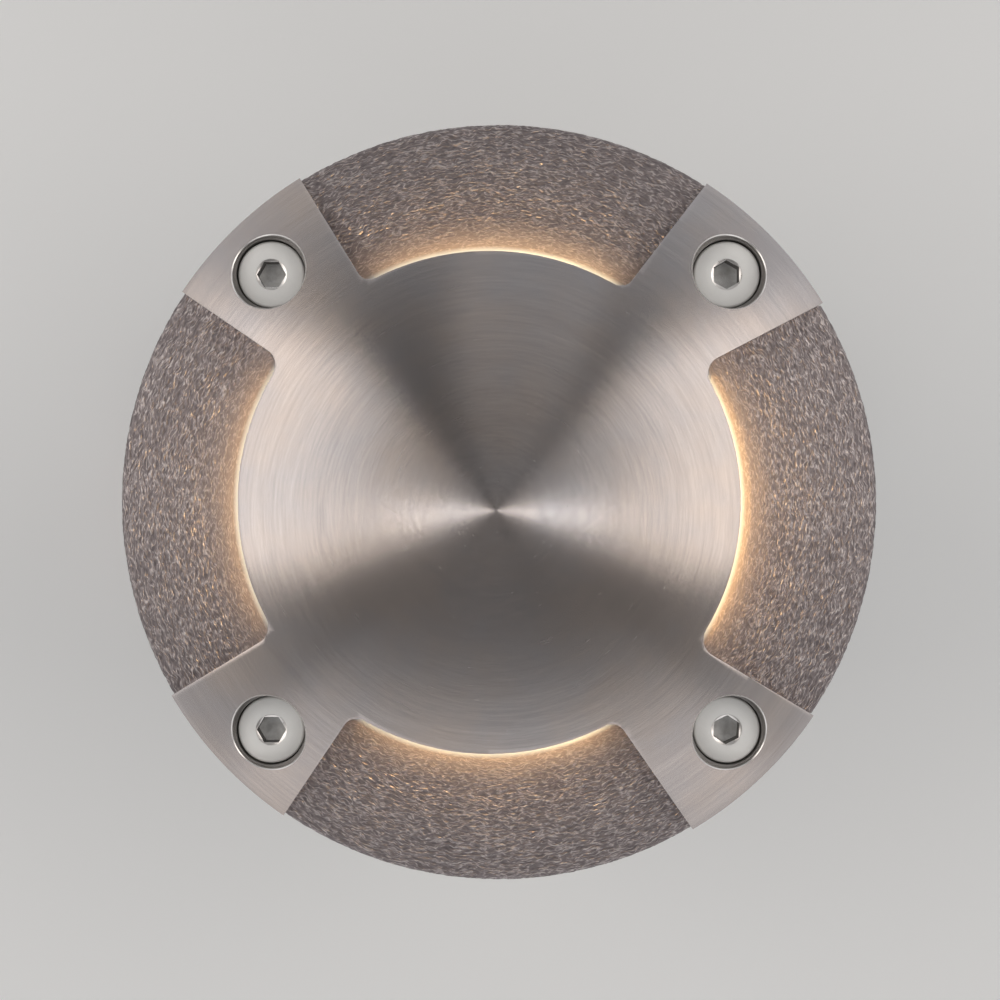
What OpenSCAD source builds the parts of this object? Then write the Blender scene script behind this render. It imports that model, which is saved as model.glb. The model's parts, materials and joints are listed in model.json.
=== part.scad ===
// In-ground well light. A cast stainless face with four side windows closes a sealed
// housing that holds the light engine and its driver. The housing drops into a sleeve
// that stays in the paving. Pieces of the luminaire are drawn from the paving plane,
// which is the underside of the face's rim, and the sleeve stands on the origin.

/* [Face] */
// Outer diameter of the cast face
cover_d = 120; // [112:1:140]
// Height of the crown above the paving
dome_h = 18.5; // [17:0.5:22]
// Height of the arms at the rim
arm_edge_h = 3.4; // [3:0.1:4.2]
// Wall of the hollow dome
dome_wall = 2.4; // [2:0.1:3]
// Angle of each arm, seen from the centre, in degrees
arm_angle = 24.7; // [22:0.1:32]
// Radial width of the sloping aprons
apron_w = 21; // [18:0.5:23]
// Height of the apron at its window
sill_h = 4.8; // [4:0.1:5.6]
// Height of the apron at the rim
apron_edge_h = 2.2; // [1.9:0.1:2.6]
// Bevel of the apron at the rim
apron_bevel = 0.9; // [0.6:0.1:1.2]
// Rounding of the window's plan corners
window_corner = 1.6; // [1:0.1:3]
// Overhang of the lid past the diffuser
window_depth = 5.5; // [4.5:0.1:7]
// Rim that reaches over the paving past the sleeve
lip_show = 1.5; // [1:0.1:2.5]
// Spigot of the face below the paving
spigot_depth = 4; // [3.5:0.1:5]
// Depth of the groove under the rim, over the sleeve's edge
groove_h = 0.3; // [0.2:0.1:0.4]

/* [Face screws] */
// Distance from the rim to the screw axes
screw_edge = 9; // [8.5:0.1:10]
// Thread diameter of the face screws
screw_d = 6; // [5:0.5:6.5]
// Length of the face screws under the head
screw_l = 16; // [14:1:18]
// Head diameter of the face screws
head_d = 10.5; // [9:0.5:11]
// Head height of the face screws
head_h = 3.1; // [3:0.1:4]
// Key width of the hexagon socket
key_af = 4; // [3:0.5:5]
// Depth of the hexagon socket
key_depth = 2; // [1.5:0.1:2.2]
// Height of the head's seat above the paving
head_seat_h = 0.7; // [0.6:0.1:1]
// Clearance round the heads in their counterbores
head_gap = 0.45; // [0.3:0.05:0.7]

/* [Light engine] */
// Wall of the frosted diffuser
diffuser_wall = 2; // [1.5:0.1:2.5]
// Width of the diffuser's clamped flange
lens_flange_w = 6.5; // [5.5:0.1:7.5]
// Thickness of the diffuser's clamped flange
lens_flange_t = 2.6; // [2:0.1:2.8]
// Height of the deflector cone
deflector_h = 15.5; // [12:0.5:17]
// Wall of the deflector cone
deflector_wall = 0.8; // [0.6:0.1:1.2]
// Thickness of the light engine's board
board_t = 1.6; // [1:0.1:2]
// Side of one light emitter
led_w = 3.4; // [2.8:0.1:4]
// Number of light emitters
led_count = 8; // [4:1:10]
// Thickness of the thermal pad under the board
pad_t = 0.5; // [0.3:0.1:1]

/* [Housing] */
// Depth of the light chamber
chamber_depth = 8; // [7:0.5:10]
// Shelf that carries the board and takes its heat
shelf_t = 4.5; // [3.5:0.5:6]
// Length of the housing below its top face
housing_l = 53; // [50:1:60]
// Wall of the housing's body
body_wall = 4; // [3.5:0.1:4.5]
// Top flange of the housing
flange_t = 7; // [6:0.5:8]
// Number of places for cooling fins
fin_count = 30; // [20:1:36]
// Radial height of the cooling fins
fin_h = 3; // [2:0.5:3.5]
// Root thickness of the cooling fins
fin_t = 2; // [1.5:0.1:2.4]
// Height of the driver module
driver_h = 18; // [14:1:20]
// Flange thickness of the base cap
cap_t = 5; // [4:0.5:6]

/* [Cable gland] */
// Cable hole through the gland's rubber seal
cable_d = 7.2; // [5:0.1:9]
// Thread diameter of the gland
gland_thread_d = 20; // [18:1:22]
// Width across the flats of the gland's hexagons
gland_af = 24; // [24:1:27]
// Length of the gland's clamping nut
gland_nut_l = 15; // [14:0.5:17]

/* [Retaining springs] */
// Width of the leaf springs
leaf_w = 10; // [8:0.5:12]
// Thickness of the leaf springs
leaf_t = 0.8; // [0.6:0.1:1]
// Height of the bowed stretch of a leaf spring
bow_l = 24; // [20:1:26]

/* [Sleeve] */
// Height of the paving above the foot of the sleeve
paving_h = 122; // [118:1:150]
// Wall of the sleeve
sleeve_wall = 2; // [1.8:0.1:2.4]
// Depth of the wide collar
collar_depth = 22; // [20.5:0.5:26]
// Step from the collar in to the tube
collar_step = 7.5; // [7:0.1:8.5]
// Room between the housing and the tube for the springs
spring_room = 6; // [5.5:0.1:7]
// Number of ribs outside the sleeve
rib_count = 8; // [4:2:12]
// Outer diameter of the conduit that the sockets take
conduit_d = 20; // [16:1:22]
// Depth of the conduit sockets
conduit_depth = 16; // [12:1:20]
// Height of the conduit's axis above the foot
conduit_h = 20; // [19:0.5:24]

/* [Hidden] */
$fn = 120;

// Shared clearances and the overrun of every cut
overrun = 1;
touch_gap = 0.3;
slip_gap = 0.1;

// Share of a pan head that its cross recess spans
cross_share = 0.6;

// Radii of the face and the sleeve, from the rim inwards
cover_r = cover_d / 2;
collar_r = cover_r - lip_show;
collar_in_r = collar_r - sleeve_wall;
collar_gap = 0.5;
spigot_r = collar_in_r - collar_gap;
tube_in_r = collar_in_r - collar_step;
tube_r = tube_in_r + sleeve_wall + touch_gap;
screw_r = cover_r - screw_edge;
lid_r = cover_r - apron_w;
cavity_r = lid_r - window_depth;

// Dome: one sphere through the crown and the arm's edge, and its inner shell
dome_rise = dome_h - arm_edge_h;
dome_ball_r = (pow(cover_r, 2) + pow(dome_rise, 2)) / (2 * dome_rise);
dome_ball_z = dome_h - dome_ball_r;
vault_ball_r = dome_ball_r - dome_wall;
function vault_z(r) = dome_ball_z + sqrt(pow(vault_ball_r, 2) - pow(r, 2));

// Apron: one sphere from the ledge of the sill to the rim
ledge_run = 0.5;
apron_fall = sill_h - apron_edge_h;
apron_reach = pow(cover_r, 2) - pow(lid_r + ledge_run, 2);
apron_drop = (apron_reach - pow(apron_fall, 2)) / (2 * apron_fall);
apron_ball_r = sqrt(pow(apron_drop, 2) + pow(cover_r, 2));
apron_ball_z = apron_edge_h - apron_drop;

// Windows: four of them, between the arms
window_count = 4;
window_half = (360 / window_count - arm_angle) / 2;
corner_turn = asin(window_corner / (lid_r + window_corner));
corner_reach = sqrt(pow(lid_r + window_corner, 2) - pow(window_corner, 2));
slot_half = window_half - corner_turn;
throat_inset = 0.8;
throat_half = slot_half - throat_inset;
corner_ease = 0.05;
arm_turn = 180 / window_count;

// Face screws
head_turns = [30, 0, 4, 28];
counterbore_r = head_d / 2 + head_gap;
screw_hole_r = screw_d / 2 + touch_gap;
head_edge = 0.5;
key_lead = 0.15;
key_lead_r = key_af / 2 / cos(30) + key_lead;
key_point_h = 0.7;

// Diffuser, its seat and the two gaskets
lens_gap = 0.3;
lens_step = 0.8;
cover_gasket_t = 1;
diffuser_r = cavity_r - lens_gap;
diffuser_in_r = diffuser_r - diffuser_wall;
diffuser_top = vault_z(diffuser_r) - lens_gap;
diffuser_ceiling = diffuser_top - diffuser_wall;
lens_flange_r = cavity_r + lens_flange_w;
lens_seat_r = lens_flange_r + lens_gap;
housing_top = -spigot_depth - cover_gasket_t;
lens_flange_z = -lens_step - lens_flange_t;
lens_gasket_t = lens_flange_z - housing_top;
chamber_edge = 4;
chamber_r = lens_flange_r - chamber_edge;
gasket_inset = 1.2;

// Board and what it carries
board_gap = 8;
board_r = chamber_r - board_gap;
chamber_z = housing_top - chamber_depth;
board_z = chamber_z + pad_t;
board_top = board_z + board_t;
led_h = 0.6;
led_lens_r = 1.3;
led_inset = 14;
led_ring_r = board_r - led_inset;
board_screw_count = 3;
board_screw_d = 2.5;
board_screw_head_d = 4.6;
board_screw_head_h = 1.6;
board_screw_l = 5;
board_screw_inset = 5;
board_screw_r = board_r - board_screw_inset;
lead_d = 1.4;
lead_bend_r = 1.6;
lead_inset = 4;
lead_hole_r = board_r - lead_inset;
lead_run = 4;
lead_turns = [52, 68];
lead_hole_d = 2.4;

// Housing body, bosses and columns
body_r = tube_in_r - spring_room;
body_in_r = body_r - body_wall;
shelf_z = chamber_z - shelf_t;
housing_bottom = housing_top - housing_l;
flange_z = housing_top - flange_t;
boss_r = 5;
boss_end = 1.8;
screw_end = head_seat_h - screw_l;
boss_z = screw_end - boss_end;
boss_web = 7;
fin_tip_share = 0.6;
fin_top = flange_z;
fin_clear_turn = 14;
pad_margin = 1;
column_count = 4;
column_r = 4;
column_inset = 3;
column_ring_r = body_in_r - column_inset;
base_screw_d = 4;
base_screw_l = 14;
base_screw_head_d = 7;
base_screw_head_h = 2.4;
column_l = 16;

// Driver and its terminals
driver_gap = 1.5;
driver_r = column_ring_r - column_r - driver_gap;
driver_z = shelf_z - driver_h;
driver_edge = 1.5;
driver_screw_d = 3;
driver_screw_head_d = 5.5;
driver_screw_head_h = 2;
driver_screw_bite = 3;
driver_screw_inset = 5;
driver_screw_r = driver_r - driver_screw_inset;
driver_screw_turn = 15;
terminal_l = 22;
terminal_w = 12;
terminal_h = 9;
terminal_offset = 14;
terminal_spacing = 10;
terminal_hole_d = 3.2;
terminal_screw_d = 3.4;
terminal_screw_head_h = 2;
terminal_slot_w = 0.8;

// Base cap and its seal
cap_z = housing_bottom - cap_t;
cap_spigot_h = 3;
cap_spigot_r = body_in_r - slip_gap;
cap_spigot_w = 2.5;
cap_chamfer = 1.2;
o_ring_d = 1.8;
o_ring_r = body_in_r + body_wall / 2;

// Cable gland
gland_washer_t = 1.5;
gland_washer_w = 2.6;
gland_hex_h = 6;
gland_corner_r = gland_af / 2 / cos(30);
gland_thread_r = gland_thread_d / 2;
gland_top_l = 9;
gland_collar_l = 9;
gland_collar_wall = 2.2;
gland_passage_d = 10.4;
gland_hex_z = cap_z - gland_washer_t - gland_hex_h;
gland_collar_step = 1.2;
gland_collar_r = gland_thread_r - gland_collar_step;
gland_seal_r = gland_collar_r - gland_collar_wall;
gland_seal_l = 8;
gland_seal_out = 2;
gland_seal_z = gland_hex_z - gland_collar_l - gland_seal_out;
gland_nut_top = gland_hex_z - touch_gap;
gland_nut_z = gland_nut_top - gland_nut_l;
gland_nut_hex_l = 9;
gland_mouth = 1.2;

// Retaining springs, at thirds of the circle
spring_turns = [0, 120, 240];
pad_proud = 0.3;
foot_x = body_r + pad_proud + touch_gap;
foot_l = 9;
foot_rise = 5;
spring_screw_z = housing_bottom + foot_rise;
foot_bottom = spring_screw_z - foot_l / 2;
leaf_peak_x = sqrt(pow(tube_in_r - touch_gap, 2) - pow(leaf_w / 2, 2));
leaf_sag = leaf_peak_x - foot_x - leaf_t;
bow_half = bow_l / 2;
bow_r = (pow(bow_half, 2) + pow(leaf_sag, 2)) / (2 * leaf_sag);
bow_turn = asin(bow_half / bow_r);
bow_tip_share = 0.8;
bow_z = foot_bottom + foot_l + bow_half;
spring_screw_d = 3;
spring_screw_head_d = 5.5;
spring_screw_head_h = 1.7;
spring_screw_bite = 3.2;
spring_hole_d = 3.6;
pad_w = leaf_w + 2 * pad_margin;

// Sleeve
sleeve_top = paving_h - touch_gap;
collar_z = paving_h - collar_depth;
step_z = collar_z - sleeve_wall;
base_t = 3;
base_plate_r = collar_r;
base_rib_w = 2.5;
base_rib_h = 6;
rib_w = 2.4;
rib_reach = 5.5;
drain_d = 7;
drain_count = 8;
drain_inset = 20;
drain_ring_r = tube_in_r - drain_inset;
drain_centre_d = 10;
conduit_wall = 2.5;
conduit_r = conduit_d / 2 + slip_gap;
socket_r = conduit_r + conduit_wall;
socket_flange_r = socket_r + conduit_wall;
socket_flange_t = 3;
socket_spigot_r = conduit_r + touch_gap;
socket_stop_w = 1.5;
socket_stop_r = conduit_r - socket_stop_w;
boss_face_x = tube_r + conduit_wall;
plug_l = 12;
plug_wall = 2;
plug_grip_w = 3;

// Drops the luminaire's pieces from the paving plane to their height in the sleeve
module at_paving() {
    translate([0, 0, paving_h]) children();
}

// Repeats a piece at equal turns round the axis
module ring_of(count, first = 0) {
    for (i = [0 : count - 1])
        rotate(first + i * 360 / count) children();
}

// Flat ring that stands on the height z
module washer_ring(r_out, r_in, h, z) {
    translate([0, 0, z])
        difference() {
            cylinder(r = r_out, h = h);
            translate([0, 0, -overrun])
                cylinder(r = r_in, h = h + 2 * overrun);
        }
}

// Straight hexagonal bar by its width across the flats
module hex_bar(across, h) {
    cylinder(r = across / 2 / cos(30), h = h, $fn = 6);
}

// Pan-head screw with its head up and the seat of the head at height zero
module pan_screw(d, l, r_head, h_head, slot_w) {
    translate([0, 0, -l])
        cylinder(d = d, h = l + overrun);
    difference() {
        cylinder(r = r_head, h = h_head);
        for (turn = [0, 90])
            rotate(turn)
                translate([-r_head * cross_share, -slot_w / 2, h_head / 2])
                    cube([2 * r_head * cross_share, slot_w, h_head]);
    }
}

// Half section of the turned face, before its windows are cut
module face_section() {
    difference() {
        intersection() {
            translate([0, dome_ball_z])
                circle(dome_ball_r, $fn = 720);
            translate([0, -spigot_depth])
                square([cover_r, dome_h + spigot_depth]);
        }
        translate([spigot_r, -spigot_depth - overrun])
            square([cover_r, spigot_depth + overrun]);
        intersection() {
            translate([0, dome_ball_z])
                circle(vault_ball_r, $fn = 720);
            translate([0, -spigot_depth - overrun])
                square([cavity_r, dome_h + spigot_depth]);
        }
        translate([0, -spigot_depth - overrun])
            square([lens_seat_r, spigot_depth + overrun - lens_step]);
    }
}

// Half section of the metal under an apron, bevelled at the rim
module apron_section() {
    intersection() {
        translate([0, apron_ball_z])
            circle(apron_ball_r, $fn = 1440);
        polygon([
            [0, -overrun], [cover_r, -overrun], [cover_r, apron_edge_h - apron_bevel],
            [cover_r - 2 * apron_bevel, apron_edge_h + apron_bevel],
            [cover_r - 2 * apron_bevel, dome_h], [0, dome_h]
        ]);
    }
}

// Plan wedge round +X, from an inner radius out past the rim
module plan_wedge(half, r_in) {
    reach = cover_r + overrun;
    difference() {
        polygon([[0, 0], [reach, -reach * tan(half)], [reach, reach * tan(half)]]);
        circle(r_in);
    }
}

// Plan of one window and apron, with rounded inner corners
module window_plan() {
    plan_wedge(slot_half, lid_r);
    plan_wedge(window_half, corner_reach);
    for (side = [-1, 1])
        rotate(side * slot_half)
            translate([lid_r + window_corner, 0])
                circle(window_corner - corner_ease);
}

// Everything that is cut away for one window and its apron
module window_cut() {
    intersection() {
        linear_extrude(height = dome_h + overrun) window_plan();
        rotate_extrude()
            difference() {
                square([cover_r + 2 * overrun, dome_h + 2 * overrun]);
                apron_section();
            }
    }
    rotate_extrude(angle = 2 * throat_half, start = -throat_half)
        intersection() {
            translate([0, dome_ball_z])
                circle(vault_ball_r - slip_gap, $fn = 720);
            translate([cavity_r - overrun, sill_h])
                square([window_depth + 2 * overrun, dome_h]);
        }
}

module face_cover() {
    color([0.66, 0.63, 0.61])
        at_paving()
            difference() {
                rotate_extrude() face_section();
                washer_ring(collar_r + touch_gap, collar_in_r - touch_gap,
                            groove_h + overrun, -overrun);
                ring_of(window_count) window_cut();
                ring_of(window_count, arm_turn)
                    translate([screw_r, 0, 0]) {
                        translate([0, 0, head_seat_h])
                            cylinder(r = counterbore_r, h = dome_h);
                        translate([0, 0, -spigot_depth - overrun])
                            cylinder(r = screw_hole_r, h = dome_h);
                    }
            }
}

// Flat-topped round head with a softened edge and a drilled hexagon socket
module cover_screw(turn) {
    difference() {
        union() {
            translate([0, 0, -screw_l])
                cylinder(d = screw_d, h = screw_l + overrun);
            cylinder(d = head_d, h = head_h - head_edge);
            translate([0, 0, head_h - head_edge])
                cylinder(d1 = head_d, d2 = head_d - 2 * head_edge, h = head_edge);
        }
        rotate(turn)
            translate([0, 0, head_h - key_depth])
                hex_bar(key_af, key_depth + overrun);
        translate([0, 0, head_h - key_depth - key_point_h])
            cylinder(r1 = 0, r2 = key_af / 2 - slip_gap, h = key_point_h + slip_gap);
        translate([0, 0, head_h - key_lead_r + key_af / 2 - slip_gap])
            cylinder(r1 = key_af / 2 - slip_gap, r2 = key_lead_r + overrun,
                     h = key_lead_r + overrun - key_af / 2 + slip_gap);
    }
}

module cover_screws() {
    color([0.80, 0.80, 0.80])
        at_paving()
            for (i = [0 : window_count - 1])
                rotate(arm_turn + i * 360 / window_count)
                    translate([screw_r, 0, head_seat_h])
                        rotate(-arm_turn - i * 360 / window_count)
                            cover_screw(head_turns[i]);
}

module cover_gasket() {
    color([0.10, 0.10, 0.11])
        at_paving()
            difference() {
                washer_ring(spigot_r - touch_gap, lens_seat_r + gasket_inset,
                            cover_gasket_t, housing_top);
                ring_of(window_count, arm_turn)
                    translate([screw_r, 0, housing_top - overrun])
                        cylinder(r = screw_hole_r, h = cover_gasket_t + 2 * overrun);
            }
}

module diffuser() {
    color([0.93, 0.91, 0.86])
        at_paving()
            rotate_extrude()
                polygon([
                    [0, diffuser_ceiling], [diffuser_in_r, diffuser_ceiling],
                    [diffuser_in_r, lens_flange_z], [lens_flange_r, lens_flange_z],
                    [lens_flange_r, -lens_step], [diffuser_r, -lens_step],
                    [diffuser_r, diffuser_top - diffuser_wall / 2],
                    [diffuser_r - diffuser_wall / 2, diffuser_top], [0, diffuser_top]
                ]);
}

module lens_gasket() {
    color([0.55, 0.20, 0.15])
        at_paving()
            washer_ring(lens_flange_r, chamber_r + gasket_inset / 2, lens_gasket_t,
                        housing_top);
}

module deflector_cone() {
    rim_r = diffuser_in_r - slip_gap;
    tip_z = diffuser_ceiling - deflector_h;
    color([0.92, 0.92, 0.90])
        at_paving()
            rotate_extrude()
                polygon([
                    [0, tip_z], [rim_r, diffuser_ceiling - deflector_wall],
                    [rim_r, diffuser_ceiling], [rim_r - deflector_wall, diffuser_ceiling],
                    [0, tip_z + 2 * deflector_wall]
                ]);
}

module led_board() {
    color([0.92, 0.93, 0.92])
        at_paving()
            difference() {
                translate([0, 0, board_z])
                    cylinder(r = board_r, h = board_t);
                ring_of(board_screw_count)
                    translate([board_screw_r, 0, board_z - overrun])
                        cylinder(d = board_screw_d + touch_gap, h = board_t + 2 * overrun);
                lead_holes(board_z, board_t);
            }
}

// Holes that the two leads pass down through
module lead_holes(z, t) {
    for (turn = lead_turns)
        rotate(turn)
            translate([lead_hole_r, 0, z - overrun])
                cylinder(d = lead_hole_d, h = t + 2 * overrun);
}

module led_emitters() {
    color([0.98, 0.88, 0.55])
        at_paving()
            ring_of(led_count)
                translate([led_ring_r, 0, board_top]) {
                    translate([-led_w / 2, -led_w / 2, 0])
                        cube([led_w, led_w, led_h]);
                    translate([0, 0, led_h])
                        intersection() {
                            sphere(led_lens_r);
                            cylinder(r = led_lens_r + overrun, h = led_lens_r + overrun);
                        }
                }
}

module board_screws() {
    color([0.75, 0.75, 0.76])
        at_paving()
            ring_of(board_screw_count)
                translate([board_screw_r, 0, board_top])
                    pan_screw(board_screw_d, board_screw_l, board_screw_head_d / 2,
                              board_screw_head_h, terminal_slot_w);
}

module thermal_pad() {
    color([0.62, 0.66, 0.72])
        at_paving()
            difference() {
                translate([0, 0, chamber_z])
                    cylinder(r = board_r, h = pad_t);
                ring_of(board_screw_count)
                    translate([board_screw_r, 0, chamber_z - overrun])
                        cylinder(d = board_screw_d + touch_gap, h = pad_t + 2 * overrun);
                lead_holes(chamber_z, pad_t);
            }
}

// One lead: along the board, round a bend and down through the shelf to the driver
module led_lead() {
    run_z = board_top + lead_d / 2;
    bend_x = lead_hole_r - lead_bend_r;
    translate([bend_x - lead_run, 0, run_z])
        rotate([0, 90, 0])
            cylinder(d = lead_d, h = lead_run);
    translate([bend_x, 0, run_z - lead_bend_r])
        rotate([90, 0, 0])
            rotate_extrude(angle = 90)
                translate([lead_bend_r, 0])
                    circle(d = lead_d);
    translate([lead_hole_r, 0, shelf_z])
        cylinder(d = lead_d, h = run_z - lead_bend_r - shelf_z);
}

module led_leads() {
    color([0.75, 0.12, 0.10])
        at_paving()
            for (turn = lead_turns)
                rotate(turn) led_lead();
}

// One cooling fin, thinner at its tip
module cooling_fin() {
    root = body_r - body_wall / 2;
    tip = body_r + fin_h;
    translate([0, 0, housing_bottom])
        linear_extrude(height = fin_top - housing_bottom)
            polygon([
                [root, -fin_t / 2], [tip, -fin_t * fin_tip_share / 2],
                [tip, fin_t * fin_tip_share / 2], [root, fin_t / 2]
            ]);
}

// Turns of the fins that stay clear of the springs
function turn_apart(a, b) = abs((a - b + 540) % 360 - 180);
fin_turns = [
    for (i = [0 : fin_count - 1])
        let (turn = i * 360 / fin_count)
            if (min([for (s = spring_turns) turn_apart(turn, s)]) > fin_clear_turn) turn
];

// Outside of the housing: flange, body, fins, screw bosses and spring pads
module housing_outside() {
    translate([0, 0, flange_z])
        cylinder(r = spigot_r, h = flange_t);
    translate([0, 0, housing_bottom])
        cylinder(r = body_r, h = housing_l);
    for (turn = fin_turns)
        rotate(turn) cooling_fin();
    ring_of(window_count, arm_turn) {
        translate([screw_r, 0, boss_z])
            cylinder(r = boss_r, h = flange_z - boss_z + overrun);
        translate([body_in_r + slip_gap, -boss_web / 2, boss_z])
            cube([screw_r - body_in_r, boss_web, flange_z - boss_z + overrun]);
    }
    for (turn = spring_turns)
        rotate(turn)
            translate([body_in_r + slip_gap, -pad_w / 2, foot_bottom])
                cube([body_r + pad_proud - body_in_r - slip_gap, pad_w, foot_l]);
}

// Columns in the driver chamber that take the base screws
module column_ring() {
    ring_of(column_count)
        translate([column_ring_r, 0, housing_bottom])
            cylinder(r = column_r, h = column_l);
}

module housing() {
    color([0.36, 0.37, 0.39])
        at_paving()
            difference() {
                housing_outside();
                translate([0, 0, chamber_z])
                    cylinder(r = chamber_r, h = chamber_depth + overrun);
                difference() {
                    translate([0, 0, housing_bottom - overrun])
                        cylinder(r = body_in_r, h = shelf_z - housing_bottom + overrun);
                    column_ring();
                }
                lead_holes(shelf_z, shelf_t);
                ring_of(window_count, arm_turn)
                    translate([screw_r, 0, screw_end - touch_gap])
                        cylinder(r = screw_d / 2 + slip_gap, h = screw_l + overrun);
                ring_of(board_screw_count)
                    translate([board_screw_r, 0, board_top - board_screw_l - touch_gap])
                        cylinder(d = board_screw_d + 2 * slip_gap, h = board_screw_l);
                ring_of(column_count)
                    translate([column_ring_r, 0, housing_bottom - overrun])
                        cylinder(d = base_screw_d + 2 * slip_gap, h = base_screw_l);
                ring_of(2, driver_screw_turn)
                    translate([driver_screw_r, 0, shelf_z - overrun])
                        cylinder(d = driver_screw_d + 2 * slip_gap,
                                 h = driver_screw_bite + touch_gap + overrun);
                for (turn = spring_turns)
                    rotate(turn)
                        translate([foot_x, 0, spring_screw_z])
                            rotate([0, -90, 0])
                                cylinder(d = spring_screw_d + 2 * slip_gap,
                                         h = spring_screw_bite + touch_gap);
            }
}

module driver_module() {
    color([0.13, 0.13, 0.14])
        at_paving()
            difference() {
                rotate_extrude()
                    polygon([
                        [0, driver_z], [driver_r - driver_edge, driver_z],
                        [driver_r, driver_z + driver_edge],
                        [driver_r, shelf_z], [0, shelf_z]
                    ]);
                ring_of(2, driver_screw_turn)
                    translate([driver_screw_r, 0, driver_z - overrun])
                        cylinder(d = driver_screw_d + touch_gap, h = driver_h + 2 * overrun);
            }
}

module driver_screws() {
    color([0.75, 0.75, 0.76])
        at_paving()
            ring_of(2, driver_screw_turn)
                translate([driver_screw_r, 0, driver_z])
                    mirror([0, 0, 1])
                        pan_screw(driver_screw_d, driver_h + driver_screw_bite,
                                  driver_screw_head_d / 2, driver_screw_head_h,
                                  terminal_slot_w);
}

module terminal_block() {
    color([0.90, 0.90, 0.88])
        at_paving()
            translate([0, -terminal_offset, driver_z - terminal_h])
                difference() {
                    translate([-terminal_l / 2, -terminal_w / 2, 0])
                        cube([terminal_l, terminal_w, terminal_h]);
                    for (side = [-1, 1])
                        translate([side * terminal_spacing / 2, 0, 0]) {
                            translate([0, 0, terminal_h / 2])
                                rotate([90, 0, 0])
                                    cylinder(d = terminal_hole_d, h = terminal_w + overrun,
                                             center = true);
                            translate([0, 0, -overrun])
                                cylinder(d = terminal_screw_d + 2 * slip_gap,
                                         h = terminal_screw_head_h + 2 * overrun);
                        }
                }
}

module terminal_screws() {
    color([0.78, 0.66, 0.36])
        at_paving()
            for (side = [-1, 1])
                translate([side * terminal_spacing / 2, -terminal_offset,
                           driver_z - terminal_h])
                    difference() {
                        cylinder(d = terminal_screw_d,
                                 h = terminal_screw_head_h + overrun);
                        translate([-terminal_screw_d, -terminal_slot_w / 2, -overrun])
                            cube([2 * terminal_screw_d, terminal_slot_w,
                                  overrun + terminal_slot_w]);
                    }
}

module base_cap() {
    color([0.36, 0.37, 0.39])
        at_paving()
            difference() {
                rotate_extrude()
                    polygon([
                        [0, cap_z], [body_r - cap_chamfer, cap_z],
                        [body_r, cap_z + cap_chamfer], [body_r, housing_bottom],
                        [cap_spigot_r, housing_bottom],
                        [cap_spigot_r, housing_bottom + cap_spigot_h],
                        [cap_spigot_r - cap_spigot_w, housing_bottom + cap_spigot_h],
                        [cap_spigot_r - cap_spigot_w, housing_bottom], [0, housing_bottom]
                    ]);
                translate([0, 0, cap_z - overrun])
                    cylinder(r = gland_thread_r + slip_gap, h = cap_t + 2 * overrun);
                washer_ring(o_ring_r + o_ring_d / 2 + slip_gap,
                            o_ring_r - o_ring_d / 2 - slip_gap,
                            o_ring_d + overrun, housing_bottom - o_ring_d);
                ring_of(column_count)
                    translate([column_ring_r, 0, 0]) {
                        translate([0, 0, housing_bottom])
                            cylinder(r = column_r + touch_gap, h = cap_spigot_h + overrun);
                        translate([0, 0, cap_z - overrun])
                            cylinder(d = base_screw_d + touch_gap, h = cap_t + 2 * overrun);
                        translate([0, 0, cap_z - overrun])
                            cylinder(r = base_screw_head_d / 2 + touch_gap,
                                     h = base_screw_head_h + overrun);
                    }
            }
}

module base_o_ring() {
    color([0.08, 0.08, 0.09])
        at_paving()
            translate([0, 0, housing_bottom - o_ring_d / 2])
                rotate_extrude()
                    translate([o_ring_r, 0])
                        circle(d = o_ring_d, $fn = 48);
}

module base_screws() {
    color([0.75, 0.75, 0.76])
        at_paving()
            ring_of(column_count)
                translate([column_ring_r, 0, cap_z + base_screw_head_h])
                    mirror([0, 0, 1])
                        pan_screw(base_screw_d, base_screw_l, base_screw_head_d / 2,
                                  base_screw_head_h, terminal_slot_w);
}

module gland_washer() {
    color([0.08, 0.08, 0.09])
        at_paving()
            washer_ring(gland_thread_r + gland_washer_w, gland_thread_r + slip_gap,
                        gland_washer_t, cap_z - gland_washer_t);
}

module gland_body() {
    color([0.11, 0.11, 0.12])
        at_paving()
            difference() {
                union() {
                    translate([0, 0, gland_hex_z])
                        hex_bar(gland_af, gland_hex_h);
                    translate([0, 0, gland_hex_z])
                        cylinder(r = gland_thread_r,
                                 h = gland_hex_h + gland_washer_t + gland_top_l);
                    translate([0, 0, gland_hex_z - gland_collar_l])
                        cylinder(r = gland_collar_r, h = gland_collar_l + overrun);
                }
                translate([0, 0, gland_hex_z - gland_collar_l - overrun])
                    cylinder(d = gland_passage_d,
                             h = gland_collar_l + gland_hex_h + gland_washer_t
                                 + gland_top_l + 2 * overrun);
                translate([0, 0, gland_hex_z - gland_collar_l - overrun])
                    cylinder(r = gland_seal_r + slip_gap,
                             h = gland_seal_l - gland_seal_out + overrun);
            }
}

module gland_seal() {
    color([0.06, 0.06, 0.07])
        at_paving()
            washer_ring(gland_seal_r, cable_d / 2, gland_seal_l, gland_seal_z);
}

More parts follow.
